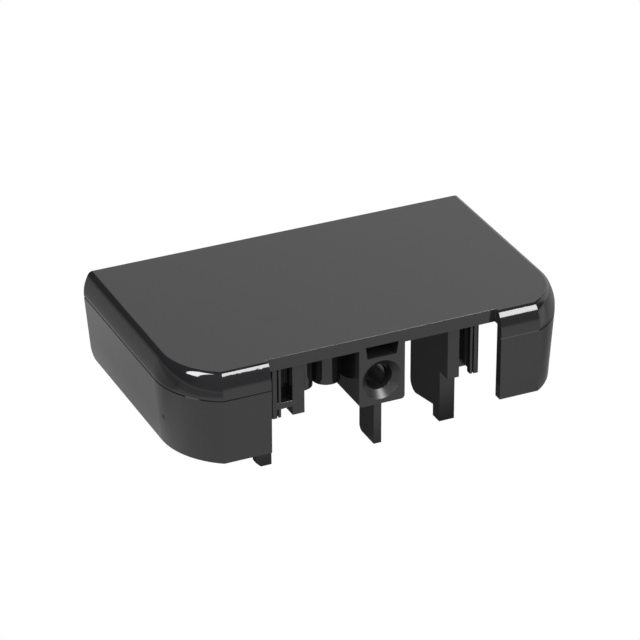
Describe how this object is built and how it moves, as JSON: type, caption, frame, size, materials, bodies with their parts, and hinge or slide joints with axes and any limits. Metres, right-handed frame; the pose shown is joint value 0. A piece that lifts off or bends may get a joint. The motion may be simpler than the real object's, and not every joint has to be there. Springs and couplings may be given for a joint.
{
  "type": "profile end cap",
  "caption": "Moulded end cap for a rectangular wall channel, with a skirt on three sides, a front notch, a screw boss and guide plates.",
  "frame": {"origin": "under the middle of the cap, level with the tips of the prongs", "axes": "+X along the long side, -Y towards the notched front, +Z out of the flat outer face"},
  "size_m": [0.107, 0.0646, 0.0331],
  "materials": {
    "cap": "gloss black moulded plastic"
  },
  "bodies": {
    "root": {"end_cap": "cap"}
  },
  "joints": []
}
